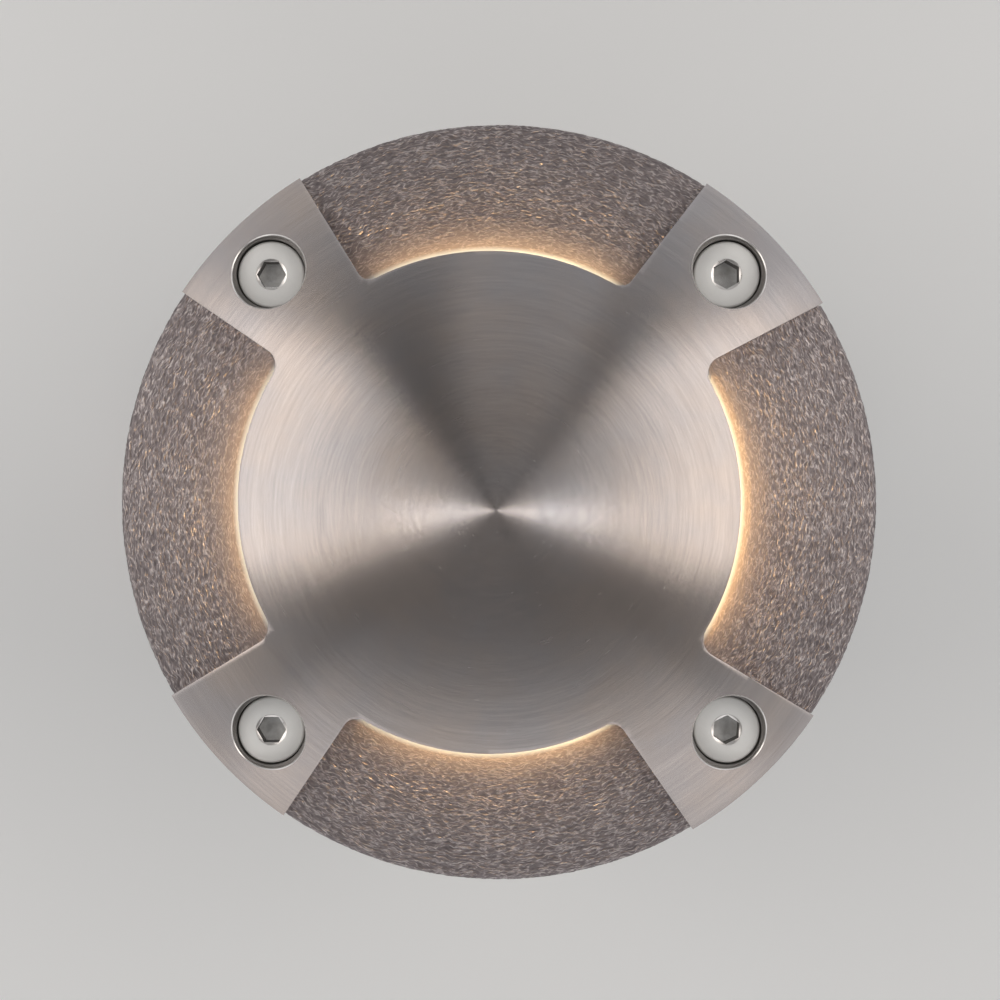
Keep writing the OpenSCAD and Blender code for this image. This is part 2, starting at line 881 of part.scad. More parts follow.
module gland_nut() {
    nut_bore_r = gland_collar_r + slip_gap;
    color([0.11, 0.11, 0.12])
        at_paving()
            difference() {
                intersection() {
                    translate([0, 0, gland_nut_z])
                        hex_bar(gland_af, gland_nut_l);
                    translate([0, 0, gland_nut_z])
                        rotate_extrude()
                            polygon([
                                [0, 0], [cable_d, 0],
                                [gland_af / 2 - gland_mouth,
                                 gland_nut_l - gland_nut_hex_l],
                                [gland_corner_r, gland_nut_l - gland_nut_hex_l
                                 + gland_mouth],
                                [gland_corner_r, gland_nut_l - gland_mouth],
                                [gland_af / 2, gland_nut_l], [0, gland_nut_l]
                            ]);
                }
                translate([0, 0, gland_seal_z])
                    cylinder(r = nut_bore_r, h = gland_nut_l);
                translate([0, 0, gland_nut_z - overrun])
                    cylinder(r = cable_d / 2 + 2 * touch_gap,
                             h = gland_nut_l + 2 * overrun);
            }
}

// Bowed leaf with a flat foot; the bow leans on the tube and springs inwards
module retaining_spring(turn) {
    color([0.78, 0.78, 0.77])
        at_paving()
            rotate(turn)
                difference() {
                    union() {
                        translate([foot_x, -leaf_w / 2, foot_bottom])
                            cube([leaf_t, leaf_w, foot_l + leaf_t]);
                        translate([leaf_peak_x - bow_r, 0, bow_z])
                            rotate([90, 0, 0])
                                rotate_extrude(angle = bow_turn * (1 + bow_tip_share),
                                               start = -bow_turn)
                                    translate([bow_r - leaf_t, -leaf_w / 2])
                                        square([leaf_t, leaf_w]);
                    }
                    translate([foot_x - overrun, 0, spring_screw_z])
                        rotate([0, 90, 0])
                            cylinder(d = spring_hole_d, h = leaf_t + 2 * overrun);
                }
}

module spring_screws() {
    color([0.75, 0.75, 0.76])
        at_paving()
            for (turn = spring_turns)
                rotate(turn)
                    translate([foot_x + leaf_t + touch_gap, 0, spring_screw_z])
                        rotate([0, 90, 0])
                            pan_screw(spring_screw_d,
                                      spring_screw_bite + leaf_t + touch_gap,
                                      spring_screw_head_d / 2, spring_screw_head_h,
                                      terminal_slot_w);
}

// Half section of the sleeve: collar, sloping step and tube
module sleeve_section() {
    polygon([
        [tube_in_r, base_t], [tube_r, base_t], [tube_r, step_z - collar_step],
        [collar_r, collar_z], [collar_r, sleeve_top], [collar_in_r, sleeve_top],
        [collar_in_r, collar_z], [tube_in_r, collar_z]
    ]);
}

module sleeve() {
    color([0.16, 0.16, 0.17])
        difference() {
            union() {
                rotate_extrude() sleeve_section();
                ring_of(rib_count, 180 / rib_count)
                    translate([tube_in_r + slip_gap, -rib_w / 2, base_t])
                        cube([rib_reach, rib_w, step_z - base_t]);
                ring_of(2)
                    translate([tube_in_r + slip_gap, 0, conduit_h])
                        rotate([0, 90, 0])
                            cylinder(r = socket_flange_r,
                                     h = boss_face_x - tube_in_r - slip_gap);
            }
            translate([0, 0, -overrun])
                cylinder(r = tube_in_r, h = collar_z);
            ring_of(2)
                translate([tube_in_r - 2 * collar_step, 0, conduit_h])
                    rotate([0, 90, 0])
                        cylinder(r = socket_spigot_r + slip_gap, h = 4 * collar_step);
        }
}

module sleeve_base() {
    rim_r = tube_in_r - slip_gap;
    color([0.19, 0.19, 0.20])
        difference() {
            union() {
                cylinder(r = base_plate_r, h = base_t);
                washer_ring(rim_r, rim_r - base_rib_w, base_rib_h, base_t - slip_gap);
            }
            ring_of(drain_count)
                translate([drain_ring_r, 0, -overrun])
                    cylinder(d = drain_d, h = base_t + 2 * overrun);
            translate([0, 0, -overrun])
                cylinder(d = drain_centre_d, h = base_t + 2 * overrun);
        }
}

// Socket that is bonded into the sleeve's side and takes a conduit
module conduit_socket(turn) {
    color([0.42, 0.43, 0.45])
        rotate(turn)
            translate([0, 0, conduit_h])
                rotate([0, 90, 0])
                    rotate_extrude()
                        polygon([
                            [socket_stop_r, tube_in_r + touch_gap],
                            [socket_spigot_r, tube_in_r + touch_gap],
                            [socket_spigot_r, boss_face_x],
                            [socket_flange_r, boss_face_x],
                            [socket_flange_r, boss_face_x + socket_flange_t],
                            [socket_r, boss_face_x + socket_flange_t],
                            [socket_r, boss_face_x + conduit_depth],
                            [conduit_r, boss_face_x + conduit_depth],
                            [conduit_r, boss_face_x],
                            [socket_stop_r, boss_face_x]
                        ]);
}

// Cup-shaped stopper with a grip bar, flush with the mouth of the unused socket
module blanking_plug() {
    mouth_x = boss_face_x + conduit_depth;
    plug_r = conduit_r - slip_gap;
    color([0.70, 0.30, 0.10])
        rotate(180)
            translate([mouth_x - plug_l, 0, conduit_h])
                rotate([0, 90, 0])
                    difference() {
                        cylinder(r = plug_r, h = plug_l);
                        difference() {
                            translate([0, 0, plug_wall])
                                cylinder(r = plug_r - plug_wall, h = plug_l);
                            translate([-plug_r, -plug_grip_w / 2, 0])
                                cube([2 * plug_r, plug_grip_w, plug_l - plug_wall]);
                        }
                    }
}

face_cover();
cover_screws();
cover_gasket();
diffuser();
lens_gasket();
deflector_cone();
led_board();
led_emitters();
board_screws();
thermal_pad();
led_leads();
housing();
driver_module();
driver_screws();
terminal_block();
terminal_screws();
base_cap();
base_o_ring();
base_screws();
gland_washer();
gland_body();
gland_seal();
gland_nut();
retaining_spring(spring_turns[0]);  // retaining_spring_1
retaining_spring(spring_turns[1]);  // retaining_spring_2
retaining_spring(spring_turns[2]);  // retaining_spring_3
spring_screws();
sleeve();
sleeve_base();
conduit_socket(0);  // conduit_socket_1
conduit_socket(180);  // conduit_socket_2
blanking_plug();
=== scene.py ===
import json
import math

import bmesh
import bpy
from mathutils import Matrix, Vector, noise


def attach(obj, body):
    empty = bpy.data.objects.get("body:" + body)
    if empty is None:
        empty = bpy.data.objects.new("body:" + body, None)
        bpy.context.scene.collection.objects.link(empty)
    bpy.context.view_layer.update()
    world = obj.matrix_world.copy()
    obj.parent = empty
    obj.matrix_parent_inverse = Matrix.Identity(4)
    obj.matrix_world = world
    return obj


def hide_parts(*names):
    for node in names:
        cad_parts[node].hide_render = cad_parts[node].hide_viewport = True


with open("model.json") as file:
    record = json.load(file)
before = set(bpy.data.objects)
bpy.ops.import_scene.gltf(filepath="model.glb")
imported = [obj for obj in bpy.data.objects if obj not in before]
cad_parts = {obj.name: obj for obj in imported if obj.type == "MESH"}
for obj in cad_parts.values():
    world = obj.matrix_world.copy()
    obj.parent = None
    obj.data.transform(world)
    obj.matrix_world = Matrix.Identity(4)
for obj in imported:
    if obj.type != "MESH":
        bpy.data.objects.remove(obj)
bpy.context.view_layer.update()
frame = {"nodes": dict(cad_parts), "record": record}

MM = 0.001

# Points closer than these, in metres, are the same one: in a turned mesh, and in a cut one
SAME = 1e-7
CUT_SAME = 2e-7

# Face: heights are over the paving plane
PAVING = 122 * MM
RIM_R = 60 * MM
LID_R = 38.1 * MM
CROWN_H = 18.5 * MM
ARM_EDGE_H = 3.4 * MM
DOME_WALL = 2.4 * MM
SILL_H = 4.8 * MM
LEDGE_R = 39.5 * MM
APRON_EDGE_H = 2.2 * MM
APRON_BEVEL = 0.9 * MM
CAVITY_R = 33.5 * MM
LENS_SEAT_R = 40.3 * MM
LENS_STEP = 0.8 * MM
SPIGOT_R = 56 * MM
SPIGOT_DEPTH = 4 * MM
GROOVE_IN_R = 56.2 * MM
GROOVE_OUT_R = 58.8 * MM
GROOVE_H = 0.3 * MM
SCREW_R = 50.7 * MM
SEAT_H = 0.7 * MM
COUNTERBORE_R = 5.7 * MM
SCREW_HOLE_R = 3.3 * MM
ABOVE = 26 * MM
EDGE_SOFT = 0.16 * MM
CROWN_AT = (-0.45 * MM, -1.3 * MM, 0)  # the middle of the brushing

# How finely the face and its round holes are turned
DOME_STEPS = 66
VAULT_STEPS = 16
FACE_TURNS = 288
ROUND_TURNS = 96

# The cast windows sit a little off the turned dome: the lid's edge is off centre, and each
# window has its own pair of sides, as (degrees at the lid, degrees at the rim), and the
# radius of its corners
LID_AT = Vector((-1.55 * MM, -0.05 * MM, 0))
WINDOWS = [
    ((-35.7, -34.0), (33.5, 31.4)),
    ((59.0, 56.7), (121.6, 121.6)),
    ((146.8, 146.4), (210.3, 210.6)),
    ((235.2, 235.5), (298.7, 300.8)),
]
CORNERS = [2.8 * MM, 2.1 * MM, 2.8 * MM, 2.3 * MM]
SIDE_R = 39.5 * MM
THROAT_TRIM = 3.4  # degrees that the slot under the lid is short of each side
THROAT_PAST_LID = 2.6 * MM

# The cast skin of the aprons is laid into the casting, and reaches a little past the sides of
# its window: by degrees at the rim, and by more further in
SKIN_SINK = 0.35 * MM
SKIN_T = 0.6 * MM
SKIN_FOOT = 0.25 * MM
SKIN_FINE_R = 37 * MM
SKIN_RINGS = 150
SKIN_TURNS = 340
SKIN_SPARE = 0.05
SKIN_TUCK = 0.4
SKIN_TUCK_R = 59.5 * MM
SKIN_TUCK_RUN = 1.5 * MM
WRINKLE = 0.10 * MM
STROKE_R = 50  # mm: the strokes keep their length along the circle with this radius

# Face screws
SHANK_R = 3 * MM
SHANK_L = 16 * MM
HEAD_R = 5.25 * MM
HEAD_H = 3.1 * MM
HEAD_EDGE = 0.4 * MM
KEY_R = 2 * MM
KEY_CORNER_R = KEY_R / math.cos(math.pi / 6)
KEY_LEAD_R = KEY_CORNER_R + 0.15 * MM
KEY_LEAD_SLOPE = math.tan(math.radians(26))
KEY_DEPTH = 2.5 * MM
KEY_POINT_H = 0.7 * MM
DRILL_R = KEY_R * 0.97
SOCKET_EDGE = 0.8 * MM
HEAD_TURNS = [math.radians(a) for a in (0, 30, 30, -4)]

# The face's bores are a little wider than the counterbores, with a ledge and a chamfer
BORE_R = COUNTERBORE_R + 0.25 * MM
BORE_IN = 0.25 * MM
BORE_DEEP = 8 * MM
BORE_LEDGE_R = 5.45 * MM
BORE_LEDGE_H = SEAT_H + HEAD_H + 0.45 * MM
BORE_EDGE = 0.17 * MM
BORE_FLARE = 0.6 * MM

DOME_BALL_R = (RIM_R ** 2 + (CROWN_H - ARM_EDGE_H) ** 2) / (2 * (CROWN_H - ARM_EDGE_H))
DOME_BALL_Z = CROWN_H - DOME_BALL_R
FALL = SILL_H - APRON_EDGE_H
APRON_DROP = (RIM_R ** 2 - LEDGE_R ** 2 - FALL ** 2) / (2 * FALL)
APRON_BALL_R = math.hypot(APRON_DROP, RIM_R)
APRON_BALL_Z = APRON_EDGE_H - APRON_DROP

ARM_TURNS = [math.radians(a) for a in (45, 135, 225, 315)]

GLOW = 24.0  # strength of the light behind the windows

# Camera: its height over the plane that the rim is seen in, and the radius of the rim as a
# share of the picture's width
REACH = 230 * MM
RIM_SEEN_H = 2.6 * MM
RIM_SHARE = 0.379


def dome_h(r):
    """Height of the dome's outside over the paving."""
    return DOME_BALL_Z + math.sqrt(DOME_BALL_R ** 2 - r ** 2)


def vault_h(r):
    """Height of the dome's inside over the paving."""
    return DOME_BALL_Z + math.sqrt((DOME_BALL_R - DOME_WALL) ** 2 - r ** 2)


def apron_h(r):
    """Height of an apron over the paving."""
    if r < LEDGE_R:
        return SILL_H
    return APRON_BALL_Z + math.sqrt(APRON_BALL_R ** 2 - r ** 2)


def smooth(t):
    """An even rise from 0 to 1, with no slope at its ends."""
    t = min(max(t, 0.0), 1.0)
    return t * t * (3 - 2 * t)


def steps(a, b, n):
    """The n + 1 numbers that divide the way from a to b into equal steps."""
    return [a + (b - a) * i / n for i in range(n + 1)]


# ---- meshes

def outline(bm, points):
    """A closed loop of edges in the XZ plane from (radius, height over the paving) pairs."""
    verts = [bm.verts.new((r, 0, PAVING + h)) for r, h in points]
    edges = [bm.edges.new((a, b)) for a, b in zip(verts, verts[1:] + verts[:1])]
    return verts, edges


def turned(points, count, angle=math.tau, start=0.0):
    """A bmesh turned from a closed outline: all the way round, or over an angle with its ends
    filled."""
    bm = bmesh.new()
    verts, edges = outline(bm, points)
    full = angle > math.tau - 1e-6
    bmesh.ops.rotate(bm, verts=verts, cent=(0, 0, 0), matrix=Matrix.Rotation(start, 3, "Z"))
    bmesh.ops.spin(bm, geom=verts + edges, cent=(0, 0, 0), axis=(0, 0, 1), angle=angle,
                   steps=count, use_merge=full, use_duplicate=False)
    if not full:
        rims = [e for e in bm.edges if len(e.link_faces) == 1]
        bmesh.ops.contextual_create(bm, geom=[e for e in rims if is_end(e, start)])
        bmesh.ops.contextual_create(bm, geom=[e for e in rims if is_end(e, start + angle)])
    bmesh.ops.remove_doubles(bm, verts=bm.verts, dist=SAME)
    bmesh.ops.recalc_face_normals(bm, faces=bm.faces)
    return bm


def is_end(edge, turn):
    """True if the edge lies in the half plane at that turn round the axis."""
    side = Vector((-math.sin(turn), math.cos(turn), 0))
    along = Vector((math.cos(turn), math.sin(turn), 0))
    return all(abs(v.co.dot(side)) < SAME and v.co.dot(along) > 0 for v in edge.verts)


def placed(bm, name, body, materials, smooth_angle=30):
    """Makes the bmesh a piece that rides on a body."""
    mesh = bpy.data.meshes.new(name)
    bm.to_mesh(mesh)
    bm.free()
    obj = bpy.data.objects.new(name, mesh)
    bpy.context.scene.collection.objects.link(obj)
    for material in materials:
        mesh.materials.append(material)
    shade(mesh, smooth_angle)
    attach(obj, body)
    return obj


def shade(mesh, smooth_angle):
    """Smooth shading with edges past the angle kept sharp."""
    mesh.shade_smooth()
    bm = bmesh.new()
    bm.from_mesh(mesh)
    limit = math.radians(smooth_angle)
    for e in bm.edges:
        e.smooth = len(e.link_faces) == 2 and e.calc_face_angle(0) < limit
    bm.to_mesh(mesh)
    bm.free()


def loose(bm, name):
    """An object from the bmesh that rides on nothing."""
    mesh = bpy.data.meshes.new(name)
    bm.to_mesh(mesh)
    bm.free()
    obj = bpy.data.objects.new(name, mesh)
    bpy.context.scene.collection.objects.link(obj)
    return obj


def carved(blank, cutters):
    """The blank's mesh with each of the cutters taken away, as a bmesh."""
    body = loose(blank, "blank")
    tools = [loose(c, "cutter") for c in cutters]
    for tool in tools:
        cut = body.modifiers.new("cut", "BOOLEAN")
        cut.operation = "DIFFERENCE"
        cut.solver = "EXACT"
        cut.object = tool
    graph = bpy.context.evaluated_depsgraph_get()
    bm = bmesh.new()
    bm.from_mesh(body.evaluated_get(graph).to_mesh())
    for obj in [body, *tools]:
        mesh = obj.data
        bpy.data.objects.remove(obj)
        bpy.data.meshes.remove(mesh)
    return bm


def joined(parts):
    """One bmesh from several."""
    whole = bmesh.new()
    for part in parts:
        mesh = bpy.data.meshes.new("part")
        part.to_mesh(mesh)
        part.free()
        whole.from_mesh(mesh)
        bpy.data.meshes.remove(mesh)
    return whole


# ---- materials

class Finish:
    """A material under construction: its nodes are added by short calls."""

    def __init__(self, name, **values):
        self.material = bpy.data.materials.new(name)
        self.material.use_nodes = True
        self.tree = self.material.node_tree
        self.shader = self.tree.nodes["Principled BSDF"]
        for key, value in values.items():
            self.shader.inputs[key.replace("_", " ")].default_value = value

    def node(self, kind, **settings):
        """A new node: its settings, and values or links for its inputs."""
        inputs = settings.pop("inputs", {})
        node = self.tree.nodes.new(kind)
        for key, value in settings.items():
            setattr(node, key, value)
        for key, value in inputs.items():
            if isinstance(value, bpy.types.NodeSocket):
                self.tree.links.new(value, node.inputs[key])
            else:
                node.inputs[key].default_value = value
        return node

    def calc(self, operation, a, b=0.0, c=0.0):
        """A sum of numbers."""
        return self.node("ShaderNodeMath", operation=operation,
                         inputs={0: a, 1: b, 2: c}).outputs[0]

    def vector(self, operation, a, b=(0, 0, 0)):
        """A sum of vectors."""
        node = self.node("ShaderNodeVectorMath", operation=operation, inputs={0: a, 1: b})
        return node.outputs["Vector"]

    def stretch(self, vector, factor):
        """A vector times a number."""
        return self.node("ShaderNodeVectorMath", operation="SCALE",
                         inputs={0: vector, "Scale": factor}).outputs["Vector"]

    def place(self):
        """Where on its object a point lies."""
        return self.node("ShaderNodeTexCoord").outputs["Object"]

    def noise(self, vector, scale, detail=4.0, rough=0.55):
        """Soft noise from 0 to 1, with so many changes in a unit of the vector."""
        return self.node("ShaderNodeTexNoise", inputs={
            "Vector": vector, "Scale": scale, "Detail": detail,
            "Roughness": rough}).outputs["Fac"]

    def length(self, vector):
        """How long a vector is."""
        return self.node("ShaderNodeVectorMath", operation="LENGTH",
                         inputs={0: vector}).outputs["Value"]

    def attribute(self, name):
        """A number that the mesh holds for each of its points."""
        return self.node("ShaderNodeAttribute", attribute_name=name).outputs["Fac"]

    def blend(self, factor, colour, other):
        """A colour that gives way to a plain one as the factor rises."""
        return self.node("ShaderNodeMix", data_type="RGBA", inputs={
            "Factor": factor, 6: colour, 7: (*other, 1)}).outputs[2]

    def rings(self, radius, round_way, across, along, detail=4.0, rough=0.6):
        """Noise in rings: its changes in a metre across the rings, and in a radian along them."""
        way = self.node("ShaderNodeSeparateXYZ", inputs={0: round_way})
        at = self.node("ShaderNodeCombineXYZ", inputs={
            "X": self.calc("MULTIPLY", radius, across),
            "Y": self.calc("MULTIPLY", way.outputs["X"], along),
            "Z": self.calc("MULTIPLY", way.outputs["Y"], along)}).outputs[0]
        return self.noise(at, 1.0, detail=detail, rough=rough)

    def span(self, value, low, high, to_low=0.0, to_high=1.0):
        """A number spread between two others, and held at them outside the range."""
        return self.node("ShaderNodeMapRange", inputs={
            "Value": value, "From Min": low, "From Max": high, "To Min": to_low,
            "To Max": to_high}).outputs[0]

    def colours(self, factor, *stops):
        """A colour ramp of (place, colour) stops."""
        node = self.node("ShaderNodeValToRGB", inputs={"Fac": factor})
        ramp = node.color_ramp
        while len(ramp.elements) < len(stops):
            ramp.elements.new(0.5)
        for element, (place, colour) in zip(ramp.elements, stops):
            element.position = place
            element.color = (*colour, 1)
        return node.outputs["Color"]

    def bump(self, height, distance):
        """Relief that is too fine for the mesh."""
        node = self.node("ShaderNodeBump", inputs={"Height": height, "Distance": distance})
        self.link(node.outputs["Normal"], "Normal")

    def link(self, output, socket):
        """Drives one input of the finish."""
        self.tree.links.new(output, self.shader.inputs[socket])


def scaled(colour, factor):
    """A colour made lighter or darker."""
    return tuple(min(1.0, c * factor) for c in colour)


def brushed_stainless():
    """Concentric brushing on the dome and the arms: long fine lines round the crown."""
    f = Finish("stainless_brushed", Metallic=1.0, Roughness=0.25, Anisotropic=0.94)
    place = f.place()
    flat = f.vector("MULTIPLY", f.vector("SUBTRACT", place, CROWN_AT), (1, 1, 0))
    round_way = f.vector("NORMALIZE", flat)
    f.link(round_way, "Tangent")
    radius = f.length(flat)
    lines = f.rings(radius, round_way, 2500.0, 3.4, detail=5.0, rough=0.75)
    broad = f.rings(radius, round_way, 420.0, 1.4, detail=3.0)
    drift = f.calc("MULTIPLY_ADD", f.noise(place, 60.0, detail=2.0), 0.003, radius)
    scratch = f.span(f.rings(drift, round_way, 5200.0, 4.0, detail=1.0), 0.72, 0.80)
    patches = f.noise(place, 42.0, detail=4.0)
    mixed = f.calc("ADD", f.calc("MULTIPLY", lines, 0.5), f.calc("MULTIPLY", broad, 0.25))
    mixed = f.calc("ADD", mixed, f.calc("MULTIPLY", patches, 0.25))
    steel = f.colours(mixed, (0.34, (0.425, 0.384, 0.378)), (0.5, (0.485, 0.438, 0.428)),
                      (0.66, (0.545, 0.493, 0.478)))
    tint = f.colours(patches, (0.36, (0.955, 1.0, 1.035)), (0.64, (1.035, 0.995, 0.94)))
    steel = f.vector("MULTIPLY", steel, tint)
    worn = f.stretch(steel, f.calc("SUBTRACT", 1.0, f.calc("MULTIPLY", scratch, 0.09)))
    f.link(worn, "Base Color")
    f.link(f.calc("ADD", f.span(mixed, 0.3, 0.7, 0.265, 0.235),
                  f.calc("MULTIPLY", scratch, 0.03)), "Roughness")
    f.bump(lines, 0.000009)
    return f.material


def cast_stainless():
    """The cast skin of the aprons: a dark ground with short bright strokes round the light that
    are painted glints, ridges painted lighter and creases painted darker as painted highlight and
    painted shade, and a lip by the lid with a painted highlight and a weak painted glow. The mesh
    says how high its wrinkles are, and how far the lid is."""
    f = Finish("stainless_cast")
    place = f.place()
    flat = f.vector("MULTIPLY", place, (1, 1, 0))
    round_way = f.vector("NORMALIZE", flat)
    radius = f.length(flat)
    crest, gap = f.attribute("crest"), f.attribute("gap")
    near = f.span(gap, 0.9, 9.0, 0.3, 1.0)
    # the lip by the lid: mask for a lighter, bluer colour as a painted highlight
    lip_highlight = f.span(gap, 1.45, 2.15, 1.0, 0.0)
    drift = f.calc("MULTIPLY_ADD", f.noise(place, 360.0, detail=2.0), 0.0017, radius)
    # thin bright lines round the light, laid into the colour as painted glints
    glint_line = f.rings(drift, round_way, 2300.0, 26.0, detail=2.0, rough=0.5)
    glint_line = f.calc("ABSOLUTE", f.calc("SUBTRACT", glint_line, 0.5))
    glint_line = f.span(glint_line, 0.0, 0.07, 1.0, 0.0)
    grain = f.span(f.rings(drift, round_way, 5200.0, 50.0, detail=2.0), 0.38, 0.62)
    stroke = f.calc("MULTIPLY_ADD", grain, 0.4, f.calc("MULTIPLY", glint_line, 0.6))
    faded = f.calc("MULTIPLY", f.calc("SUBTRACT", stroke, 0.42), near)
    glint_and_shade_tone = f.calc("MULTIPLY_ADD", faded, 0.66, 0.36)
    # ridges painted lighter and creases painted darker: painted highlight and painted shade
    glint_and_shade_tone = f.calc("MULTIPLY_ADD", crest, 0.18, glint_and_shade_tone)
    glint_and_shade_tone = f.calc("MULTIPLY_ADD", f.noise(place, 160.0, detail=4.0), 0.08, glint_and_shade_tone)
    skin = f.colours(glint_and_shade_tone, (0.12, (0.150, 0.129, 0.133)), (0.5, (0.275, 0.240, 0.241)),
                     (0.88, (0.60, 0.54, 0.53)))
    f.link(f.blend(lip_highlight, skin, (0.36, 0.42, 0.50)), "Base Color")
    f.link(f.span(gap, 0.9, 7.0, 0.25, 0.85), "Metallic")
    # and a weak glow of its own though the skin is no lamp: painted light
    f.shader.inputs["Emission Color"].default_value = (1.0, 0.95, 0.9, 1)
    f.link(f.calc("MULTIPLY", lip_highlight, 0.06), "Emission Strength")
    f.link(f.span(glint_and_shade_tone, 0.1, 0.9, 0.5, 0.3), "Roughness")
    f.bump(faded, 0.00005)
    return f.material


def moulded(name, colour, roughness, grain=900.0, depth=0.00004, contrast=0.12, metallic=0.0,
            worn=None):
    """A plain moulded, painted or plated finish with slight mottling and a fine grain, so many
    to a metre and so many metres deep. Worn edges get another colour where one is given."""
    f = Finish(name, Metallic=metallic, Roughness=roughness)
    place = f.place()
    fine = f.noise(place, grain, detail=3.0)
    mottle = f.noise(place, grain / 14, detail=4.0)
    skin = f.colours(mottle, (0.3, scaled(colour, 1 - contrast)),
                     (0.7, scaled(colour, 1 + contrast)))
    if worn:
        patchy = f.span(f.noise(place, 140.0), 0.42, 0.62, 0.15, 0.9)
        skin = f.blend(f.calc("MULTIPLY", f.attribute("worn"), patchy), skin, worn)
    f.link(skin, "Base Color")
    f.link(f.span(fine, 0.3, 0.7, roughness * 0.88, min(1.0, roughness * 1.12)), "Roughness")
    f.bump(fine, depth)
    return f.material


def plated(name, colour, roughness):
    """Smooth bare or plated metal."""
    return moulded(name, colour, roughness, grain=1500.0, depth=0.00001, contrast=0.08,
                   metallic=1.0)


def lit_opal():
    """Opal plastic with the warm light behind it."""
    f = Finish("frosted_lens", Roughness=0.45, IOR=1.58)
    cloud = f.noise(f.place(), 60.0, detail=3.0)
    f.link(f.colours(cloud, (0.3, (0.90, 0.82, 0.70)), (0.7, (0.97, 0.90, 0.79))), "Base Color")
    f.link(f.colours(cloud, (0.3, (1.0, 0.64, 0.26)), (0.7, (1.0, 0.68, 0.30))), "Emission Color")
    f.shader.inputs["Emission Strength"].default_value = GLOW
    return f.material


stainless = brushed_stainless()
cast_skin = cast_stainless()
bore_steel = moulded("bore_steel", (0.40, 0.38, 0.365), 0.38, grain=2600.0, depth=0.000012,
                     contrast=0.1, metallic=1.0)
# a lighter copy of the steel for the chamfers at the bores and the sockets' leads: a painted
# highlight
highlight_steel = moulded("highlight_steel", (0.78, 0.75, 0.73), 0.3, grain=2600.0, depth=0.000006,
                     contrast=0.05, metallic=1.0)
# a dark copy of the steel for the sockets' walls: painted shade
shaded_socket_steel = moulded("shaded_socket_steel", (0.28, 0.27, 0.26), 0.5, grain=2200.0, depth=0.00003,
                       contrast=0.35, metallic=1.0)
socket_floor = moulded("socket_floor", (0.94, 0.93, 0.91), 0.5, grain=9000.0, depth=0.00006,
                       contrast=0.3)

finishes = {
    "stainless_face": stainless,
    "screw_head": moulded("screw_head", (0.94, 0.935, 0.92), 0.6, grain=1800.0,
                          depth=0.000012, contrast=0.04, metallic=0.35),
    "black_rubber": moulded("black_rubber", (0.035, 0.035, 0.037), 0.75),
    "frosted_lens": lit_opal(),
    "red_silicone": moulded("red_silicone", (0.42, 0.10, 0.07), 0.6),
    "white_reflector": moulded("white_reflector", (0.86, 0.86, 0.84), 0.7),
    "board_white": moulded("board_white", (0.84, 0.86, 0.85), 0.35),
    "emitter": moulded("emitter", (0.92, 0.72, 0.22), 0.3),
    "zinc_screw": plated("zinc_screw", (0.62, 0.62, 0.63), 0.35),
    "thermal_pad": moulded("thermal_pad", (0.42, 0.47, 0.55), 0.8),
    "red_lead": moulded("red_lead", (0.55, 0.03, 0.025), 0.4),
    "cast_aluminium": moulded("cast_aluminium", (0.25, 0.26, 0.275), 0.5, grain=1300.0,
                              depth=0.00008, contrast=0.15, metallic=0.7,
                              worn=(0.56, 0.57, 0.58)),
    "driver_black": moulded("driver_black", (0.03, 0.03, 0.033), 0.45),
    "terminal_white": moulded("terminal_white", (0.78, 0.78, 0.74), 0.4),
    "terminal_brass": plated("terminal_brass", (0.70, 0.52, 0.22), 0.3),
    "gland_nylon": moulded("gland_nylon", (0.032, 0.032, 0.034), 0.5, worn=(0.09, 0.09, 0.09)),
    "spring_steel": plated("spring_steel", (0.62, 0.61, 0.59), 0.28),
    "sleeve_plastic": moulded("sleeve_plastic", (0.040, 0.041, 0.044), 0.55, grain=700.0,
                              depth=0.00006, worn=(0.11, 0.11, 0.11)),
    "conduit_grey": moulded("conduit_grey", (0.30, 0.31, 0.33), 0.42, worn=(0.45, 0.46, 0.48)),
    "plug_orange": moulded("plug_orange", (0.72, 0.20, 0.03), 0.45, worn=(0.85, 0.36, 0.12)),
}
for row in frame["record"]["subparts"]:
    obj = frame["nodes"].get(row["node"])
    if obj is not None:
        obj.data.materials.clear()
        obj.data.materials.append(finishes[row["material_slot"]])


# ---- face

def face_blank():
    """The turned face with nothing cut from it yet."""
    points = [(r, dome_h(r)) for r in steps(0, RIM_R, DOME_STEPS)]
    points += [
        (RIM_R, 0), (GROOVE_OUT_R, 0), (GROOVE_OUT_R, GROOVE_H), (GROOVE_IN_R, GROOVE_H),
        (GROOVE_IN_R, 0), (SPIGOT_R, 0), (SPIGOT_R, -SPIGOT_DEPTH),
        (LENS_SEAT_R, -SPIGOT_DEPTH), (LENS_SEAT_R, -LENS_STEP), (CAVITY_R, -LENS_STEP),
    ]
    points += [(r, vault_h(r)) for r in steps(CAVITY_R, 0, VAULT_STEPS)]
    return turned(points, FACE_TURNS)


def polar(radius, degrees):
    """A point in the plan at a radius and a turn round the axis."""
    return Vector((radius * math.cos(math.radians(degrees)),
                   radius * math.sin(math.radians(degrees)), 0))


def rounded_corner(side, inwards, radius):
    """Points round the corner between one side of a window and the lid's edge. The circle that
    touches both is found by halving the way along the side."""
    near, far = polar(SIDE_R, side[0]), polar(RIM_R, side[1])
    across = (far - near).cross(Vector((0, 0, inwards))).normalized()
    low, high = -0.4, 0.6
    for _ in range(40):
        mid = (low + high) / 2
        centre = near.lerp(far, mid) + across * radius
        if (centre - LID_AT).length < LID_R + radius:
            low = mid
        else:
            high = mid
    out = (LID_AT - centre).normalized()
    return [centre + (-across).slerp(out, t / 8) * radius for t in range(9)]


